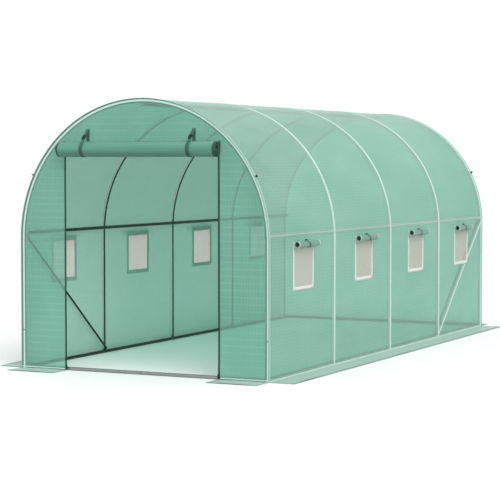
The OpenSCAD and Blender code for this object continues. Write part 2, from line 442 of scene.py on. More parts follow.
def off_brace(tree, split, name, side):
    """Distance on the cover from the slanting brace behind it, as far as the brace's upper end, for the
    painted highlight line over the brace.
    """
    low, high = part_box(name)
    rise, run = high.z - low.z, high.y - low.y
    slope = Vector((rise, run)).normalized()
    top = SKIN_PATH - high.z if side > 0 else high.z
    along = add(tree, "ShaderNodeMath", {0: split.outputs["X"], 1: top}, operation="SUBTRACT")
    end_y = high.y if side > 0 else low.y
    aside = add(tree, "ShaderNodeMath", {0: split.outputs["Y"], 1: end_y}, operation="SUBTRACT")
    part = add(tree, "ShaderNodeMath", {0: along, 1: slope.y}, operation="MULTIPLY")
    gap = add(tree, "ShaderNodeMath", {0: aside, 1: slope.x, 2: part}, operation="MULTIPLY_ADD")
    off = add(tree, "ShaderNodeMath", {0: gap}, operation="ABSOLUTE")
    above = add(tree, "ShaderNodeMath", {0: along, 1: -side}, operation="MULTIPLY")
    off = add(tree, "ShaderNodeMath", {0: off, 1: above}, operation="MAXIMUM")
    thinner = 0.003
    return add(tree, "ShaderNodeMath", {0: off, 1: thinner}, operation="ADD")


def off_end_tubes(tree, split):
    """Distance on an end wall that places its painted highlight lines: from the lit side of the hoop behind
    it, open at the joint in its leg, or from the ground rail, whose painted line is narrower."""
    lit_side, joint_gap, rail_narrowing = 0.0065, 0.013, 1.8
    shifted = add(tree, "ShaderNodeMath", {0: split.outputs["X"], 1: lit_side}, operation="SUBTRACT")
    off_hoop = add(tree, "ShaderNodeMath", {0: past_arch(tree, shifted, split.outputs["Y"])},
                   operation="ABSOLUTE")
    joint = add(tree, "ShaderNodeMapRange",
                {"Value": off_value(tree, split.outputs["Y"], JOINT_Z), "From Min": 0.004,
                 "From Max": 0.003, "To Max": joint_gap})
    hoop = add(tree, "ShaderNodeMath", {0: off_hoop, 1: joint}, operation="MAXIMUM")
    off_rail = add(tree, "ShaderNodeMath",
                   {0: off_value(tree, split.outputs["Y"], TUBE_R), 1: rail_narrowing},
                   operation="MULTIPLY")
    return add(tree, "ShaderNodeMath", {0: hoop, 1: off_rail}, operation="MINIMUM")


def woven_grid(tree, split):
    """The grid of thick threads, from 0 to 1, and the flat tapes between them, as a height."""
    tape_pitch = 0.006
    threads, tapes = [], []
    for axis, thread_pitch in (("X", 0.024), ("Y", 0.048)):
        wave = waves(tree, split.outputs[axis], thread_pitch, "COSINE")
        threads.append(add(tree, "ShaderNodeMapRange", {"Value": wave, "From Min": 0.80}))
        tapes.append(waves(tree, split.outputs[axis], tape_pitch))
    thread = add(tree, "ShaderNodeMath", {0: threads[0], 1: threads[1]}, operation="MAXIMUM")
    return thread, add(tree, "ShaderNodeMath", {0: tapes[0], 1: tapes[1]}, operation="MULTIPLY")


def tube_highlight_and_shade(tree, off, core_half, rim_shade_share, paint, dense, let_through):
    """Painted highlight and shade where the sheet lies over the tubes, from its distance off them: a pale
    painted highlight, nearly solid, between darker bands of painted shade, seen from outside only. Returns
    the sheet's colour, how dense it is and how much light it lets through, each with the lines in it."""
    rim_start, rim_full, core_start, core_full = 0.016, 0.009, 0.001, -0.002
    # The dark bands beside each line are painted shade, and the pale middle is a painted highlight of the
    # tube under the sheet.
    rim_shade_colour, core_highlight_colour, core_dense = "#4F8474", "#D9F8ED", 0.92
    face = add(tree, "ShaderNodeNewGeometry")
    off = add(tree, "ShaderNodeMath", {0: off, 1: face.outputs["Backfacing"]}, operation="ADD")
    rim_shade = add(tree, "ShaderNodeMapRange", {"Value": off, "From Min": core_half + rim_start,
                                           "From Max": core_half + rim_full, "To Max": rim_shade_share})
    core_highlight = add(tree, "ShaderNodeMapRange", {"Value": off, "From Min": core_half + core_start,
                                            "From Max": core_half + core_full})
    paint = add(tree, "ShaderNodeMix", {"Factor": rim_shade, "A": paint, "B": rim_shade_colour}, data_type="RGBA")
    paint = add(tree, "ShaderNodeMix", {"Factor": core_highlight, "A": paint, "B": core_highlight_colour}, data_type="RGBA")
    let_through = add(tree, "ShaderNodeMapRange", {"Value": core_highlight, "To Min": let_through, "To Max": 0.0})
    edged = add(tree, "ShaderNodeMath", {0: rim_shade, 1: dense}, operation="ADD")
    solid = add(tree, "ShaderNodeMath", {0: core_highlight, 1: core_dense}, operation="MULTIPLY")
    dense = add(tree, "ShaderNodeMath", {0: edged, 1: solid}, operation="MAXIMUM", use_clamp=True)
    return paint, dense, let_through


def woven_sheet(name, colour, shade, clear, tint, off_tubes=None, core_half=0.0, rim_shade_share=0.0,
                streaks=(3.0, 1.3, 1.0), let_through=0.22):
    """Woven polyethylene tapes laminated into one sheet, as tunnel covers are: waxy, see-through but less so
    when seen edge on, with a grid of thicker threads, and with a painted highlight edged with painted shade
    where it lies over a tube. The 12 mm thread grid is drawn at 48 by 24 mm and the 2.5 mm tapes at 6 mm, so
    that they show. Its cloudy patches are about 0.3 by 0.8 m and its creases 40 mm apart and 0.45 m long."""
    material, tree = new_material(name)
    flat = add(tree, "ShaderNodeUVMap", uv_map="cut")
    split = add(tree, "ShaderNodeSeparateXYZ", {0: flat})
    thread, weave = woven_grid(tree, split)
    cloud_place = add(tree, "ShaderNodeMapping", {"Vector": flat, "Scale": streaks})
    cloud = add(tree, "ShaderNodeTexNoise", {"Vector": cloud_place, "Scale": 1.0, "Detail": 3.0})
    creases, crease_height = (24.0, 2.2, 1.0), 7.0
    crease_place = add(tree, "ShaderNodeMapping", {"Vector": flat, "Scale": creases})
    crease = add(tree, "ShaderNodeTexNoise",
                 {"Vector": crease_place, "Scale": 1.0, "Detail": 4.0, "Distortion": 0.5})
    uneven = add(tree, "ShaderNodeMapRange",
                 {"Value": cloud, "From Min": 0.3, "From Max": 0.7,
                  "To Min": 0.97 - clear, "To Max": 1.03 - clear})
    by_thread, by_angle, by_tape = 0.055, 0.45, 0.05
    edge_on = add(tree, "ShaderNodeFresnel", {"IOR": 1.5})
    dense = add(tree, "ShaderNodeMath", {0: thread, 1: by_thread, 2: uneven}, operation="MULTIPLY_ADD")
    dense = add(tree, "ShaderNodeMath", {0: edge_on, 1: by_angle, 2: dense}, operation="MULTIPLY_ADD")
    dense = add(tree, "ShaderNodeMath", {0: weave, 1: by_tape, 2: dense},
                operation="MULTIPLY_ADD", use_clamp=True)
    paint = add(tree, "ShaderNodeMix", {"Factor": cloud, "A": shade, "B": colour}, data_type="RGBA")
    # Painted highlight and shade along the tubes under the sheet.
    if off_tubes:
        paint, dense, let_through = tube_highlight_and_shade(tree, off_tubes(tree, split), core_half, rim_shade_share,
                                               paint, dense, let_through)
    rise = add(tree, "ShaderNodeMath", {0: crease, 1: crease_height, 2: weave}, operation="MULTIPLY_ADD")
    bump = add(tree, "ShaderNodeBump", {"Height": rise, "Strength": 0.5, "Distance": 0.001})
    front = add(tree, "ShaderNodeBsdfPrincipled",
                {"Base Color": paint, "Roughness": 0.36, "IOR": 1.5,
                 "Sheen Weight": 0.5, "Sheen Roughness": 0.4, "Normal": bump})
    through = add(tree, "ShaderNodeBsdfTranslucent", {"Color": paint, "Normal": bump})
    cloth = add(tree, "ShaderNodeMixShader", {0: let_through, 1: front, 2: through})
    gap = add(tree, "ShaderNodeBsdfTransparent", {"Color": tint})
    both = add(tree, "ShaderNodeMixShader", {0: dense, 1: gap, 2: cloth})
    add(tree, "ShaderNodeOutputMaterial", {"Surface": both})
    return material


def galvanised_steel():
    """Thin steel tube, zinc coated and drawn smooth: a softly blurred mirror with faint mottling of some 30
    mm. Its colour holds a painted highlight, pale on the outer side that lies against the lit sheet and
    weaker near the ground, and painted shade, dark on the side that faces the inside."""
    material, tree = new_material("galvanised_steel_tube")
    place = add(tree, "ShaderNodeTexCoord")
    split = add(tree, "ShaderNodeSeparateXYZ", {0: place.outputs["Object"]})
    outward = past_arch(tree, split.outputs["X"], split.outputs["Z"])
    along = add(tree, "ShaderNodeMath", {0: split.outputs["Y"]}, operation="ABSOLUTE")
    endward = add(tree, "ShaderNodeMath", {0: along, 1: HOOP_YS[-1]}, operation="SUBTRACT")
    facing = add(tree, "ShaderNodeMath", {0: outward, 1: endward}, operation="MAXIMUM")
    # Painted light: the mask below paints a pale highlight on the outer side, weaker near the ground, and
    # leaves painted shade on the inner side.
    highlight_at_ground, shade_from, highlight_from = 0.35, -0.0065, -0.0040
    height = add(tree, "ShaderNodeMapRange", {"Value": split.outputs["Z"], "From Min": 2 * TUBE_R,
                                              "From Max": 3 * TUBE_R, "To Min": highlight_at_ground})
    lit = add(tree, "ShaderNodeMapRange", {"Value": facing, "From Min": shade_from,
                                           "From Max": highlight_from, "To Max": height})
    mottle = add(tree, "ShaderNodeTexNoise",
                 {"Vector": place.outputs["Object"], "Scale": 30.0, "Detail": 2.0})
    # The dark mottled zinc is painted shade, and the pale colour mixed over it is a painted highlight.
    zinc = add(tree, "ShaderNodeMix", {"Factor": mottle, "A": "#3A3F3D", "B": "#4A4F4C"}, data_type="RGBA")
    paint = add(tree, "ShaderNodeMix", {"Factor": lit, "A": zinc, "B": "#E2E8E5"}, data_type="RGBA")
    rough = add(tree, "ShaderNodeMapRange", {"Value": mottle, "To Min": 0.14, "To Max": 0.24})
    bump = add(tree, "ShaderNodeBump", {"Height": mottle, "Strength": 0.05, "Distance": 0.0005})
    metal = add(tree, "ShaderNodeBsdfPrincipled",
                {"Base Color": paint, "Metallic": 1.0, "Roughness": rough, "Normal": bump})
    add(tree, "ShaderNodeOutputMaterial", {"Surface": metal})
    return material


def blackened_zinc():
    """Bolts and joint rings, blackened zinc: dark grey with a dull metal shine and 2.5 mm patches."""
    material, tree = new_material("blackened_zinc")
    place = add(tree, "ShaderNodeTexCoord")
    patch = add(tree, "ShaderNodeTexNoise",
                {"Vector": place.outputs["Object"], "Scale": 1 / 0.0025, "Detail": 2.0})
    paint = add(tree, "ShaderNodeMix", {"Factor": patch, "A": "#2A2D2C", "B": "#565C59"}, data_type="RGBA")
    rough = add(tree, "ShaderNodeMapRange", {"Value": patch, "To Min": 0.35, "To Max": 0.55})
    metal = add(tree, "ShaderNodeBsdfPrincipled", {"Base Color": paint, "Metallic": 1.0, "Roughness": rough})
    add(tree, "ShaderNodeOutputMaterial", {"Surface": metal})
    return material


def webbing(name, colour, shade, rib=0.003):
    """Woven polyester band, tape or thread: matt, with ribs that catch the light. A strap's 1.5 mm ribs
    are drawn twice as coarse."""
    material, tree = new_material(name)
    flat = add(tree, "ShaderNodeUVMap", uv_map="cut")
    split = add(tree, "ShaderNodeSeparateXYZ", {0: flat})
    ribs = [waves(tree, split.outputs[axis], pitch) for axis, pitch in (("X", rib), ("Y", 0.7 * rib))]
    cross = add(tree, "ShaderNodeMath", {0: ribs[0], 1: ribs[1]}, operation="MULTIPLY")
    light = add(tree, "ShaderNodeMapRange", {"Value": cross, "From Min": -1.0})
    paint = add(tree, "ShaderNodeMix", {"Factor": light, "A": shade, "B": colour}, data_type="RGBA")
    bump = add(tree, "ShaderNodeBump", {"Height": cross, "Strength": 0.6, "Distance": 0.0004})
    cloth = add(tree, "ShaderNodeBsdfPrincipled",
                {"Base Color": paint, "Roughness": 0.75, "Sheen Weight": 0.15, "Normal": bump})
    add(tree, "ShaderNodeOutputMaterial", {"Surface": cloth})
    return material


def moulded_plastic(name, colour, shade):
    """Injection moulded nylon: satin, with a fine grain of about 1 mm."""
    material, tree = new_material(name)
    place = add(tree, "ShaderNodeTexCoord")
    grain = add(tree, "ShaderNodeTexNoise",
                {"Vector": place.outputs["Object"], "Scale": 900.0, "Detail": 2.0})
    paint = add(tree, "ShaderNodeMix", {"Factor": grain, "A": shade, "B": colour}, data_type="RGBA")
    bump = add(tree, "ShaderNodeBump", {"Height": grain, "Strength": 0.2, "Distance": 0.0002})
    body = add(tree, "ShaderNodeBsdfPrincipled",
               {"Base Color": paint, "Roughness": 0.42, "Specular IOR Level": 0.3, "Normal": bump})
    add(tree, "ShaderNodeOutputMaterial", {"Surface": body})
    return material


def insect_gauze():
    """Fine woven plastic gauze: a pale, slightly pink veil. Its 1 mm holes are drawn at 3 mm."""
    material, tree = new_material("insect_gauze")
    flat = add(tree, "ShaderNodeUVMap", uv_map="cut")
    split = add(tree, "ShaderNodeSeparateXYZ", {0: flat})
    hole_pitch = 0.003
    wires = []
    for axis in ("X", "Y"):
        wave = waves(tree, split.outputs[axis], hole_pitch, "COSINE")
        wires.append(add(tree, "ShaderNodeMapRange", {"Value": wave, "From Min": -0.4, "From Max": 0.1}))
    wire = add(tree, "ShaderNodeMath", {0: wires[0], 1: wires[1]}, operation="MAXIMUM")
    uneven = add(tree, "ShaderNodeTexNoise", {"Vector": flat, "Scale": 140.0, "Detail": 2.0})
    paint = add(tree, "ShaderNodeMix", {"Factor": uneven, "A": "#CDBBB5", "B": "#F0E2DE"}, data_type="RGBA")
    front = add(tree, "ShaderNodeBsdfPrincipled", {"Base Color": paint, "Roughness": 0.6, "IOR": 1.5})
    through = add(tree, "ShaderNodeBsdfTranslucent", {"Color": paint})
    thread = add(tree, "ShaderNodeMixShader", {0: 0.3, 1: front, 2: through})
    gap = add(tree, "ShaderNodeBsdfTransparent")
    both = add(tree, "ShaderNodeMixShader", {0: wire, 1: gap, 2: thread})
    add(tree, "ShaderNodeOutputMaterial", {"Surface": both})
    return material


ROW = row_tree()
roof_cloth = woven_sheet("woven_polyethylene_cover", "#C5EADD", "#B2DDCE", 0.58, "#A0DAC8",
                         off_cover_tubes, 0.012, 0.40)
end_cloth = woven_sheet("woven_polyethylene_end", "#BAE8DB", "#A4D9CA", 0.60, "#A0DAC8",
                        off_end_tubes, 0.0075, 0.85)
flap_cloth = woven_sheet("woven_polyethylene_flap", "#C2E4D9", "#AED6C9", 0.12, "#9AD4C2")
roll_cloth = woven_sheet("woven_polyethylene_rolled", "#6AAD98", "#3B7C69", 0.03, "#A2D7C6",
                         streaks=(0.9, 30.0, 1.0), let_through=0.04)
seam_cloth = webbing("seam_binding_green", "#9FCDBE", "#88BAAA", rib=0.002)
steel = galvanised_steel()
screw_metal = blackened_zinc()
strap_band = webbing("polyester_webbing_green", "#33705C", "#1A4437")
zip_tape = webbing("zip_tape_green", "#2E5848", "#1A3A2E", rib=0.002)
pale_tape = webbing("border_tape_white", "#F4F7F2", "#DDE3DB", rib=0.002)
green_thread = webbing("polyester_thread_green", "#6FA391", "#5A8D7B", rib=0.001)
white_thread = webbing("polyester_thread_white", "#E4E8E2", "#C6CDC5", rib=0.001)
black_nylon = moulded_plastic("moulded_nylon_black", "#181B1A", "#0B0D0C")
clear_cord = moulded_plastic("clear_nylon_cord", "#EEF1EF", "#DDE2DF")
gauze = insect_gauze()


# ------------------------------------------------------------------ the cover sheet

SAG = 0.003


def bay_share(y):
    """0 over a hoop and 1 in the middle of a bay."""
    t = (y - HOOP_YS[0]) / BAY
    return 4 * (t % 1) * (1 - t % 1) if 0 < t < BAYS else 0.0


def cover_section(s):
    """Place and outward normal in the X-Z plane at length s along the cover, from the left ground
    line over the roof to the right one."""
    if s < LEG_H:
        return (-SKIN_R, s), (-1.0, 0.0)
    if s > SKIN_PATH - LEG_H:
        return (SKIN_R, SKIN_PATH - s), (1.0, 0.0)
    turn = (s - LEG_H) / SKIN_R
    out = (-math.cos(turn), math.sin(turn))
    return (SKIN_R * out[0], LEG_H + SKIN_R * out[1]), out


def cover_point(s, y, lift=0.0):
    """A point on the cover: taut over the hoops, a little slack and creased between them."""
    (x, z), (out_x, out_z) = cover_section(s)
    free = ease(0.0, 0.4, min(s, SKIN_PATH - s))
    bay = bay_share(y)
    crease = 0.0018 * ripple(s * 7, y * 1.1, 3) + 0.0010 * ripple(s * 17, y * 2.6, 7)
    reach = lift - free * (SAG * bay + crease * (0.2 + 0.8 * bay))
    return Vector((x + out_x * reach, y, z + out_z * reach))


def cover_out(s):
    """The outward direction of the cover at length s along it."""
    out_x, out_z = cover_section(s)[1]
    return Vector((out_x, 0, out_z))


def wall_path(side, z):
    """Length along the cover at height z on one upright wall."""
    return z if side < 0 else SKIN_PATH - z


def over_hole(y, z):
    """Whether a place on an upright wall lies in a window's opening."""
    return screen_low.z < z < screen_high.z and any(abs(y - at) < HOLE_HALF for at in BAY_YS)


def make_cover():
    """The one sheet over roof and side walls, open at the windows."""
    edges_z = (screen_low.z, screen_high.z, LEG_H)
    paths = spread(0.0, SKIN_PATH, 0.03, *(wall_path(side, z) for side in (-1, 1) for z in edges_z))
    window_edges = [at + half for at in BAY_YS for half in (-HOLE_HALF, HOLE_HALF)]
    ys = spread(-SKIN_END, SKIN_END, 0.036, *window_edges, *HOOP_YS)

    def cloth(s, y):
        z = cover_section(s)[0][1]
        return z > LEG_H or not over_hole(y, z)

    mesh = sheet_mesh("cover_sheet", paths, ys, cover_point, keep=cloth)
    cover = piece("cover_sheet", mesh, [roof_cloth],
                  ("roof_left_lower", "roof_left_upper", "roof_right_upper", "roof_right_lower",
                   "wall_left", "wall_right"))


# ------------------------------------------------------------------ the end walls

def arch_height(x):
    """Height of the end wall's outline at x."""
    return LEG_H + math.sqrt(max(0.0, SKIN_R * SKIN_R - x * x))


SHOULDER = (DOOR_TOP - LEG_H) / (arch_height(DOOR_HALF) - LEG_H)


def end_height(x, row):
    """Height of a row of the end wall's grid: 0 to 1 is up to the start of the arch, 1 to 2 up to the
    top of the doorway, and 2 to 3 up to the outline."""
    rise = arch_height(x) - LEG_H
    share = SHOULDER if abs(x) >= DOOR_HALF - 1e-6 else (DOOR_TOP - LEG_H) / rise
    if row <= 1:
        return row * LEG_H
    if row <= 2:
        return LEG_H + (row - 1) * share * rise
    return LEG_H + (share + (row - 2) * (1 - share)) * rise


def end_point(x, z, lift=0.0):
    """A point on the front end wall, which hangs taut with soft upright and slanted pulls in it."""
    from_edge = min(arch_height(x) - z, SKIN_R - abs(x))
    free = ease(0.0, 0.15, from_edge) * ease(0.0, 0.1, z)
    slant = x + 0.45 * (z - LEG_H) * (1 if x < 0 else -1)
    pull = 0.0034 * ripple(slant * 6, z * 1.1, 11) + 0.0014 * ripple(x * 15, z * 2.5 + x, 5)
    return Vector((x, -END_Y - lift + free * pull, z))


def make_end_wall(name, back, stands_for):
    """An end wall in one sheet. The front one is open at the doorway."""
    door_edges = (math.asin(side * DOOR_HALF / SKIN_R) for side in (-1, 1))
    turns = spread(-math.pi / 2, math.pi / 2, 0.03, *door_edges)
    rows = spread(0.0, 3.0, 0.045, 1.0, 2.0)

    def cut(turn, row):
        x = SKIN_R * math.sin(turn)
        return x, end_height(x, row)

    def cloth(turn, row):
        return back or row > 2 or abs(SKIN_R * math.sin(turn)) > DOOR_HALF

    mesh = sheet_mesh(name, turns, rows, lambda turn, row: end_point(*cut(turn, row)), cut, cloth)
    if back:
        moved(mesh, AT_BACK)
    wall = piece(name, mesh, [end_cloth], stands_for)


def make_seams():
    """The bound seam round each end, where the end wall is sewn to the cover."""
    path_s = spread(0.0, SKIN_PATH, 0.03)
    bindings, stitch_lines = [], []
    for end in (-1, 1):
        y = end * (SKIN_END + 0.0008)
        path = [cover_point(s, y, 0.0012) for s in path_s]
        outs = [cover_out(s) for s in path_s]
        bindings.append(swept_mesh("binding", path, [Y] * len(path), outs, band_profile(0.011, 0.0036)))
        clear_s = path_s[1:-1]
        inner = end * (SKIN_END - 0.0028)
        stitch_lines.append([(cover_point(s, inner, 0.0032), cover_out(s)) for s in clear_s])
        face = end * (END_FACE + 0.0010)
        stitch_lines.append([(cover_point(s, face, -0.0035), end * Y) for s in clear_s])
    piece("end_seam_bindings", joined("end_seam_bindings", bindings), [seam_cloth])
    stitches = row_mesh("end_seam_stitches", stitch_lines, stitch_item(), 0.009, green_thread)
    piece("end_seam_stitches", stitches, [green_thread])


# ------------------------------------------------------------------ ground flaps

HEM_W = 0.018


def make_ground_flap(name, start, along, out, length, stands_for):
    """A flap on the ground, from the foot of a wall outwards, with soft waves and a folded hem.
    Returns the line of stitches in its hem."""
    def place(u, v, lift=0.0):
        wave = 0.5 + 0.5 * ripple(u * 2.3 + 7 * along.x, v * 5, 4 + 3 * out.y)
        rise = 0.0016 + 0.008 * wave * ease(0.0, 0.03, v) * ease(0.0, 0.25, min(u, length - u) + 0.08)
        slack = 0.004 * (1 + ripple(u * 3, 1.0, 8)) * v / FLAP_W
        return start + along * u + out * (v - slack) + Z * (rise + lift)

    us = spread(0.0, length, 0.04)
    vs = spread(0.0, FLAP_W, 0.02, FLAP_W - HEM_W)
    flip = along.cross(out).z < 0
    cloth = sheet_mesh(name, us, vs, place, flip=flip)
    hem = sheet_mesh(name, us, [FLAP_W - HEM_W, FLAP_W - HEM_W / 2, FLAP_W],
                     lambda u, v: place(u, v, 0.0012), flip=flip)
    flap = piece(name, joined(name, [cloth, hem]), [flap_cloth], stands_for)
    thickened(flap, 0.0007, 1.0)
    return [(place(u, FLAP_W - 0.8 * HEM_W, 0.0018), Z) for u in us]


def make_ground_flaps():
    """The flaps along both sides, beside the doorway and across the back."""
    beside_door = SKIN_R - DOOR_HALF
    stitch_lines = [
        make_ground_flap("flap_" + where, Vector((x, y, 0)), along, out, length, ["skirt_" + where])
        for where, x, y, along, out, length in (
            ("right", SKIN_R, -END_Y, Y, X, 2 * END_Y),
            ("left", -SKIN_R, -END_Y, Y, -X, 2 * END_Y),
            ("front_left", -SKIN_R, -END_Y, X, -Y, beside_door),
            ("front_right", DOOR_HALF, -END_Y, X, -Y, beside_door),
            ("back", -SKIN_R, END_Y, X, Y, 2 * SKIN_R))
    ]
    stitches = row_mesh("flap_hem_stitches", stitch_lines, stitch_item(), 0.010, green_thread)
    piece("flap_hem_stitches", stitches, [green_thread])


# ------------------------------------------------------------------ rolled sheets

def rolled_section(outer, inner, turns, top, steps=26):
    """Section of a sheet that hangs behind a roll from a height over its middle and is wound up from
    below, as (back, up) places from the middle of the roll."""
    total = round(turns * steps)
    points = [(outer, top), (outer, top / 2)]
    for k in range(total + 1):
        turn = 2 * math.pi * k / steps
        radius = outer + (inner - outer) * k / total
        points.append((radius * math.cos(turn), -radius * math.sin(turn)))
    return points


def make_door_roll():
    """The door, wound up from its hem and held by two straps, with its zip tapes along both ends."""
    turns, core_r, thick, edge = 6.5, 0.024, 0.0026, 0.016
    points = rolled_section(ROLL_R - 0.001, core_r, turns, DOOR_TOP - 0.001 - ROLL_MID.z)
    lengths = run_lengths([Vector((*p, 0)) for p in points])

    def place(x, j):
        back, up = points[int(j)]
        if j < 2:
            return ROLL_MID + X * x + Y * back + Z * up
        depth = ease(0.02, ROLL_R, math.hypot(back, up))
        turn = math.atan2(up, back)
        pinch = sum(math.exp(-((x - side * STRAP_X) / 0.045) ** 2) for side in (-1, 1))
        uneven = 0.012 * ripple(x * 2.2, turn * 2.0, j * 0.02) + 0.008 * ripple(x * 0.8, turn * 6, 3)
        grow = 1 + depth * (0.030 * (1 - min(1.0, pinch)) + uneven) - 0.02 * pinch * depth
        back_grow = min(grow, 1.0) if back > 0 else grow
        slip = 0.004 * ripple(j * 0.05, 0.0, 6) * ease(0.5, 0.62, abs(x)) * (1 if x > 0 else -1)
        return ROLL_MID + X * (x + slip) + Y * back * back_grow + Z * up * grow

    xs = spread(-ROLL_HALF, ROLL_HALF, 0.022, -ROLL_HALF + edge, ROLL_HALF - edge)
    mesh = sheet_mesh("door_roll_sheet", xs, range(len(points)), place,
                      lambda x, j: (x, lengths[int(j)]), flip=True)
    roll = piece("door_roll_sheet", mesh, [roll_cloth, zip_tape], ("door_roll",))
    for face in mesh.polygons:
        face.material_index = int(abs(face.center.x) > ROLL_HALF - edge)
    thickened(roll, thick)


def strap_route():
    """The strap's way from its tip down behind the roll, under it and up its front to the tip again,
    as places in the Y-Z plane with outward normals, and the two ends of its front run."""
    tip = Vector((0, -END_FACE - 0.0016, strap_high.z - 0.001))
    centre = Vector((0, ROLL_MID.y, ROLL_MID.z))
    radius = ROLL_R + 0.0012
    reach = tip - centre
    lean = math.atan2(reach.z, reach.y)
    open_by = math.acos(radius / reach.length)
    path, ups = [], []

    def normal(turn):
        return Vector((0, math.cos(turn), math.sin(turn)))

    start, end = lean - open_by, lean + open_by - 2 * math.pi
    for k in range(9):
        path.append(tip.lerp(centre + normal(start) * radius, k / 8))
        ups.append(normal(start))
    for turn in spread(start, end, -0.12)[::-1] if start < end else spread(end, start, 0.12)[::-1][1:]:
        path.append(centre + normal(turn) * radius)
        ups.append(normal(turn))
    touch = centre + normal(end) * radius
    front_tip = tip - Y * 0.002
    for k in range(1, 9):
        path.append(touch.lerp(front_tip, k / 8))
        ups.append(normal(end))
    return path, ups, touch, front_tip, normal(end)


def make_straps():
    """Two webbing loops, sewn to the front wall above the doorway and closed round the roll, each with
    a ladder buckle on its front run."""
    path, ups, touch, tip, out = strap_route()
    bands, buckles = [], []
    along = (tip - touch).normalized()
    for side in (-1, 1):
        shift = X * side * STRAP_X
        route = [p + shift for p in path]
        bands.append(swept_mesh("strap", route, [X] * len(route), ups, band_profile(STRAP_W, 0.0018)))
        patch = [tip + shift + Y * 0.0035 + Z * dz for dz in (-0.05, -0.03, -0.01, 0.004)]
        bands.append(straight_sweep("patch", patch, X, Y, band_profile(STRAP_W, 0.0022)))
        spot = tip.lerp(touch, BUCKLE_PLACE) + shift + out * 0.0035
        buckles.append(moved(ladder_buckle(), standing(spot, out, along)))
    piece("door_straps_webbing", joined("door_straps_webbing", bands), [strap_band],
          ("door_straps",))
    piece("strap_buckles", joined("strap_buckles", buckles), [black_nylon],
          ("door_buckles",))


def ladder_buckle():
    """A ladder buckle lying in X-Y: two side bars, three cross bars and a thumb tab."""
    width, length, bar = BUCKLE_W, 0.030, 0.0040
    parts = [rounded_box((length, bar, 0.0045), (0, side * (width - bar) / 2, 0), 0.0012)
             for side in (-1, 1)]
    for x in (-length / 2 + bar / 2, 0.0, length / 2 - bar / 2):
        parts.append(rounded_box((bar, width - bar, 0.0036), (x, 0, 0.0006), 0.0012))
    parts.append(rounded_box((0.006, width * 0.7, 0.003), (length / 2, 0, 0.0025), 0.0012))
    return joined("ladder_buckle", parts)


# ------------------------------------------------------------------ windows

FLAP_EDGE = 0.010
TIE_W = 0.017
TIE_SLANT = 0.020


def wall_spot(side, y, z, lift):
    """A place on the outside of an upright wall."""
    return cover_point(wall_path(side, z), y, lift)


def make_gauze(side, name, at):
    """The gauze behind one window's opening, lapping the cover all round."""
    lap = 0.004
    ys = spread(at - HOLE_HALF - lap, at + HOLE_HALF + lap, 0.03)
    zs = spread(screen_low.z - lap, screen_high.z + lap, 0.03)
    mesh = sheet_mesh(name + "_gauze", ys, zs, lambda y, z: wall_spot(side, y, z, -0.0006), flip=side < 0)
    screen = piece(name + "_gauze", mesh, [gauze], ("window_screens",))


def make_border(side, name, at):
    """The tape sewn round one window. Returns the lines of stitches along its two edges."""
    low, high = screen_low.z, screen_high.z
    ys = spread(at - WINDOW_HALF, at + WINDOW_HALF, 0.03, at - HOLE_HALF, at + HOLE_HALF)
    zs = spread(border_low.z, border_high.z, 0.03, low, high)
    mesh = sheet_mesh(name + "_border", ys, zs, lambda y, z: wall_spot(side, y, z, 0.0012),
                      keep=lambda y, z: abs(y - at) > HOLE_HALF or not low < z < high, flip=side < 0)
    border = piece(name + "_border", mesh, [pale_tape], ("window_borders",))
    thickened(border, 0.0010)
    inset = 0.004
    stitch_lines = []
    for half, bottom, top in ((WINDOW_HALF - inset, border_low.z + inset, border_high.z - inset),
                              (HOLE_HALF + inset, low - inset, high + inset)):
        corners = ((-half, bottom), (half, bottom), (half, top), (-half, top), (-half, bottom))
        for (y0, z0), (y1, z1) in zip(corners, corners[1:]):
            line = [(y0 + (y1 - y0) * k / 8, z0 + (z1 - z0) * k / 8) for k in range(9)]
            stitch_lines.append([(wall_spot(side, at + y, z, 0.0022), side * X) for y, z in line])
    return stitch_lines


def make_flap_roll(side, name, at):
    """A window's own flap, wound up into an open tube over it, with white tape along its edges."""
    turns, core_r, thick, steps = 3, 0.015, 0.0012, 24
    points = rolled_section(FLAP_ROLL_R - 0.0008, core_r, turns, border_high.z + 0.004 - FLAP_Z, steps)
    lengths = run_lengths([Vector((*p, 0)) for p in points])

    def place(u, j):
        back, up = points[int(j)]
        turn = math.atan2(up, back)
        slack = 0.0 if j < 2 else 0.03 * ripple(u * 8 + at, turn * 2, 3 * side) \
            - 0.07 * math.exp(-((u - TIE_SLANT * math.cos(turn)) / 0.018) ** 2)
        grow = 1 + slack
        return Vector((side * (FLAP_X - back * grow), at + u, FLAP_Z + up * grow))

    us = spread(-WINDOW_HALF, WINDOW_HALF, 0.018, -WINDOW_HALF + FLAP_EDGE, WINDOW_HALF - FLAP_EDGE)
    mesh = sheet_mesh(name + "_flap", us, range(len(points)), place,
                      lambda u, j: (u, lengths[int(j)]), flip=side > 0)
    flap = piece(name + "_flap", mesh, [roll_cloth, pale_tape], ("window_flaps",))
    reach = (FLAP_ROLL_R + points[steps][0]) / 2 * 0.9
    for face in mesh.polygons:
        off = math.hypot(side * face.center.x - FLAP_X, face.center.z - FLAP_Z)
        face.material_index = int(abs(face.center.y - at) > WINDOW_HALF - FLAP_EDGE and off > reach)
    thickened(flap, thick)


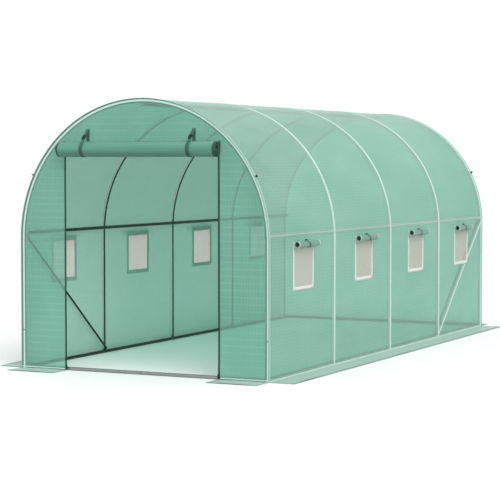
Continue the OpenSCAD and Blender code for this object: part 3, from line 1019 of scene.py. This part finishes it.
def make_tie(side, name, at):
    """The webbing tie round a flap roll, slanting across it, with its toggle on top."""
    ring = FLAP_ROLL_R - 0.0002
    turns = [2 * math.pi * k / 32 for k in range(32)]
    outs = [Vector((side * math.cos(a), 0, math.sin(a))) for a in turns]
    path = [Vector((side * FLAP_X, at - TIE_SLANT * math.sin(a), FLAP_Z)) + out * ring
            for a, out in zip(turns, outs)]
    band = swept_mesh("tie", path, [Y] * len(path), outs, band_profile(TIE_W, 0.0015), closed=True)
    piece(name + "_tie", band, [strap_band], ("window_ties",))
    half = 0.013
    shape = mirrored([(0.0, -half), (0.0034, -half), (0.0048, 0.002 - half), (0.0042, -0.004),
                      (0.0030, 0.0)])
    top = Vector((side * FLAP_X, at - TIE_SLANT, FLAP_Z + ring + 0.0048))
    toggle = moved(turned_mesh(name + "_toggle", shape, 14), standing(top, Y, Z))
    piece(name + "_toggle", toggle, [black_nylon])


def make_windows():
    """All the side windows, and the stitches in their borders."""
    stitch_lines = []
    for side, side_name in ((-1, "left"), (1, "right")):
        for number, at in enumerate(BAY_YS, 1):
            name = f"window_{side_name}_{number}"
            make_gauze(side, name, at)
            stitch_lines += make_border(side, name, at)
            make_flap_roll(side, name, at)
            make_tie(side, name, at)
    stitches = row_mesh("border_stitches", stitch_lines, stitch_item(), 0.009, white_thread)
    piece("border_stitches", stitches, [white_thread])


# ------------------------------------------------------------------ zips

def make_zips():
    """The zip halves beside the open doorway: tape, a row of teeth along its inner edge, and a slider
    parked at the foot of each."""
    tapes, teeth_lines, sliders = [], [], []
    zs = spread(ZIP_LOW, DOOR_TOP, 0.04)
    for side in (-1, 1):
        at = side * (DOOR_HALF + ZIP_W / 2)
        path = [end_point(at, z, 0.0022) for z in zs]
        tapes.append(straight_sweep("tape", path, X, -Y, band_profile(ZIP_W, 0.0012)))
        edge = side * (DOOR_HALF + 0.0015)
        teeth_lines.append([(end_point(edge, z, 0.0030), -Y) for z in zs])
        sliders.append(moved(zip_slider(), standing(end_point(edge, ZIP_LOW + 0.022, 0.0045), -Y, Z)))
    piece("zip_tapes", joined("zip_tapes", tapes), [zip_tape], ("door_zips",))
    tooth = straight_sweep("tooth", [Y * -0.0022, Y * 0.0014, Y * 0.0024], X, Z,
                           [(-0.0008, -0.0008), (0.0008, -0.0008), (0.0008, 0.0006), (0.0, 0.0010),
                            (-0.0008, 0.0006)])
    teeth = row_mesh("zip_teeth", teeth_lines, tooth, 0.003, black_nylon)
    piece("zip_teeth", teeth, [black_nylon])
    piece("zip_sliders", joined("zip_sliders", sliders), [black_nylon])


def zip_slider():
    """A zip slider lying in X-Y, with its bridge and pull tab."""
    return joined("zip_slider", [
        rounded_box((0.016, 0.011, 0.0055), (0, 0, 0), 0.0015),
        rounded_box((0.010, 0.004, 0.0030), (0, 0, 0.0038), 0.0010),
        rounded_box((0.024, 0.008, 0.0014), (-0.014, 0, 0.0050), 0.0006),
    ])


# ------------------------------------------------------------------ fittings on the steel frame

def make_knobs():
    """Black ball knobs on the pins through the end hoops, each pin's end showing inside the hoop, and
    a small loop of clear cord beyond each knob."""
    low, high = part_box("bolt_knobs")
    radius, length = high.y - HOOP_YS[-1], 0.020
    turn = math.asin(((low.z + high.z) / 2 - LEG_H) / (KNOB_FOOT + length / 2))
    shape = [(0.0, -0.042), (0.0030, -0.041), (0.0030, 0.0), (0.55 * radius, 0.0003),
             (0.50 * radius, 0.0030), (0.80 * radius, 0.0058), (0.97 * radius, 0.0090),
             (radius, 0.0120), (0.92 * radius, 0.0155), (0.66 * radius, length - 0.0016),
             (0.30 * radius, length - 0.0002), (0.0, length)]
    knobs, loops = [], []
    for end in (-1, 1):
        for side in (-1, 1):
            out = Vector((side * math.cos(turn), 0, math.sin(turn)))
            foot = Vector((0, end * HOOP_YS[-1], LEG_H)) + out * KNOB_FOOT
            knobs.append(moved(turned_mesh("knob", shape, 20), standing(foot, out, Y)))
            centre = foot + out * (length + 0.0070)
            across = [2 * math.pi * k / 24 for k in range(24)]
            normals = [Y * math.cos(a) + out * math.sin(a) for a in across]
            flat = out.cross(Y)
            loops.append(swept_mesh("loop", [centre + n * 0.0110 for n in normals], [flat] * 24, normals,
                                    round_profile(0.0010, 6), closed=True))
    piece("pin_knobs", joined("pin_knobs", knobs), [black_nylon], ("bolt_knobs",))
    piece("pin_cord_loops", joined("pin_cord_loops", loops), [clear_cord])


def bolt_item():
    """A hexagon bolt's head on its washer, standing up along Z from the tube it clamps."""
    washer = turned_mesh("washer", [(0.0, 0.0), (0.0062, 0.0), (0.0062, 0.0012), (0.0, 0.0012)], 16)
    head = turned_mesh("head", [(0.0, 0.0012), (0.0046, 0.0012), (0.0046, 0.0046), (0.0034, 0.0054),
                                (0.0, 0.0056)], 6)
    return joined("bolt", [washer, head])


def make_bolts():
    """Bolts where the rails cross the hoops and where the two braces end."""
    lines = []
    ys = HOOP_YS
    ridge = middle("ridge_rail")
    lines.append([(Vector((0, y, ridge.z - TUBE_R)), -Z) for y in ys])
    for side, name in ((-1, "left"), (1, "right")):
        rail = middle("side_rail_" + name)
        inward = Vector((-rail.x, 0, LEG_H - rail.z)).normalized()
        lines.append([(Vector((rail.x, y, rail.z)) + inward * TUBE_R, inward) for y in ys])
        ground = middle("ground_rail_" + name)
        lines.append([(Vector((ground.x - side * TUBE_R, y, ground.z)), -side * X) for y in ys[1:-1]])
    for name, side, end in (("brace_front_left", -1, -1), ("brace_back_right", 1, 1)):
        low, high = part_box(name)
        brace_r = (high.x - low.x) / 2
        x = middle(name).x - side * brace_r
        from_y = end * HOOP_YS[-1]
        lines.append([(Vector((x, from_y - end * brace_r, high.z - brace_r)), -side * X),
                      (Vector((x, from_y - end * (BAY - brace_r), low.z + brace_r)), -side * X)])
    meshes = []
    for k, line in enumerate(lines):
        span = (line[1][0] - line[0][0]).length
        meshes.append(row_mesh(f"bolts_{k}", [line], bolt_item(), span * 0.999, screw_metal))
    piece("frame_bolts", joined("frame_bolts", meshes), [screw_metal])


def make_joint_rings():
    """Dark gaps where one length of tube slips into the next: in the legs of the end hoops and in the
    middle of the ground rails across the ends."""
    rings = []
    bore = TUBE_R - 0.002
    shape = mirrored([(bore, -0.0020), (TUBE_R + 0.0002, -0.0018), (TUBE_R + 0.0007, 0.0)])
    sleeve = mirrored([(bore, -0.018), (TUBE_R, -0.018), (TUBE_R + 0.0004, -0.0165)])
    shape.append(shape[0])
    sleeve.append(sleeve[0])
    sleeves = []
    for end in (-1, 1):
        y = end * HOOP_YS[-1]
        for side in (-1, 1):
            spot = Vector((side * ARCH_R, y, JOINT_Z))
            rings.append(moved(turned_mesh("ring", shape, 28), standing(spot, Z, X)))
        rail = middle("ground_rail_front").z
        sleeves.append(moved(turned_mesh("sleeve", sleeve, 28), standing(Vector((0, y, rail)), X, Z)))
        pin = turned_mesh("pin", [(0.0, 0.0), (0.0034, 0.0), (0.0030, 0.0018), (0.0, 0.0024)], 12)
        rings.append(moved(pin, standing(Vector((0.006, y + end * (TUBE_R + 0.001), rail)), end * Y, X)))
    piece("tube_joint_rings", joined("tube_joint_rings", rings), [screw_metal])
    piece("ground_rail_sleeves", joined("ground_rail_sleeves", sleeves), [steel])


def finish_frame():
    """The frame's own tubes keep their shape and get their finish."""
    slot_of = {row["node"]: row["material_slot"] for row in frame["record"]["subparts"]}
    for name, obj in frame["nodes"].items():
        if slot_of[name] == "steel":
            obj.data.materials.clear()
            obj.data.materials.append(steel)


# ------------------------------------------------------------------ studio

def make_camera():
    """The camera stands to the right of the open doorway at eye height, with a long lens."""
    azimuth, down = math.radians(26.136), math.radians(2.943)
    data = bpy.data.cameras.new("camera")
    data.sensor_width = 36.0
    data.lens = 123.91
    camera = bpy.data.objects.new("camera", data)
    scene.collection.objects.link(camera)
    camera.location = (6.030, -12.803, 1.508)
    level = Vector((-math.sin(azimuth), math.cos(azimuth), 0)) * math.cos(down)
    camera.rotation_euler = (level - Z * math.sin(down)).to_track_quat("-Z", "Y").to_euler()
    scene.camera = camera


def sight_rays(tree):
    """1 for rays that carry what is seen, mirrored or looked at through glass, and 0 for light."""
    path = add(tree, "ShaderNodeLightPath")
    sight = add(tree, "ShaderNodeMath",
                {0: path.outputs["Is Camera Ray"], 1: path.outputs["Is Glossy Ray"]}, operation="MAXIMUM")
    return add(tree, "ShaderNodeMath", {0: sight, 1: path.outputs["Is Transmission Ray"]},
               operation="MAXIMUM")


def make_world():
    """An even studio light, seen as plain white."""
    world = bpy.data.worlds.new("studio")
    scene.world = world
    world.use_nodes = True
    tree = world.node_tree
    tree.nodes.clear()
    white = (1, 1, 1, 1)
    lit = add(tree, "ShaderNodeBackground", {"Color": white, "Strength": 0.84})
    seen = add(tree, "ShaderNodeBackground", {"Color": white, "Strength": 1.0})
    mixed = add(tree, "ShaderNodeMixShader", {0: sight_rays(tree), 1: lit, 2: seen})
    add(tree, "ShaderNodeOutputWorld", {"Surface": mixed})


def make_key_light():
    """One very large soft light, high at the front and to the right."""
    sun = bpy.data.lights.new("soft_key", "SUN")
    sun.energy = 1.7
    sun.angle = math.radians(50)
    key = bpy.data.objects.new("soft_key", sun)
    scene.collection.objects.link(key)
    key.rotation_euler = Vector((-0.56, 0.50, -0.66)).to_track_quat("-Z", "Y").to_euler()


def make_floor():
    """A plain pale floor that keeps the shadow and turns plain white further out."""
    half = 60.0
    mesh = bpy.data.meshes.new("floor")
    corners = [(-half, -half, 0), (half, -half, 0), (half, half, 0), (-half, half, 0)]
    mesh.from_pydata(corners, [], [(0, 1, 2, 3)])
    floor = bpy.data.objects.new("floor", mesh)
    scene.collection.objects.link(floor)
    material, tree = new_material("pale_floor")
    place = add(tree, "ShaderNodeTexCoord")
    far = add(tree, "ShaderNodeVectorMath", {0: place.outputs["Object"]}, operation="LENGTH")
    fade = add(tree, "ShaderNodeMapRange", {"Value": far, "From Min": 3.5, "From Max": 9.0},
               interpolation_type="SMOOTHSTEP")
    sight = sight_rays(tree)
    paint = add(tree, "ShaderNodeMix", {"Factor": sight, "A": "#AAAAAA", "B": "#F9F9F9"}, data_type="RGBA")
    matt = add(tree, "ShaderNodeBsdfDiffuse", {"Color": paint})
    glow = add(tree, "ShaderNodeEmission", {"Color": (1, 1, 1, 1), "Strength": 1.0})
    share = add(tree, "ShaderNodeMath", {0: fade, 1: sight}, operation="MULTIPLY")
    mixed = add(tree, "ShaderNodeMixShader", {0: share, 1: matt, 2: glow})
    add(tree, "ShaderNodeOutputMaterial", {"Surface": mixed})
    mesh.materials.append(material)


make_camera()
make_world()
make_key_light()
make_floor()
scene.view_settings.view_transform = "Standard"

make_cover()
make_end_wall("front_wall", False, ("front_panel_left", "front_panel_right", "front_panel_top"))
make_end_wall("back_wall_sheet", True, ("back_wall",))
make_seams()
make_ground_flaps()
make_door_roll()
make_straps()
make_windows()
make_zips()
make_knobs()
make_bolts()
make_joint_rings()
finish_frame()
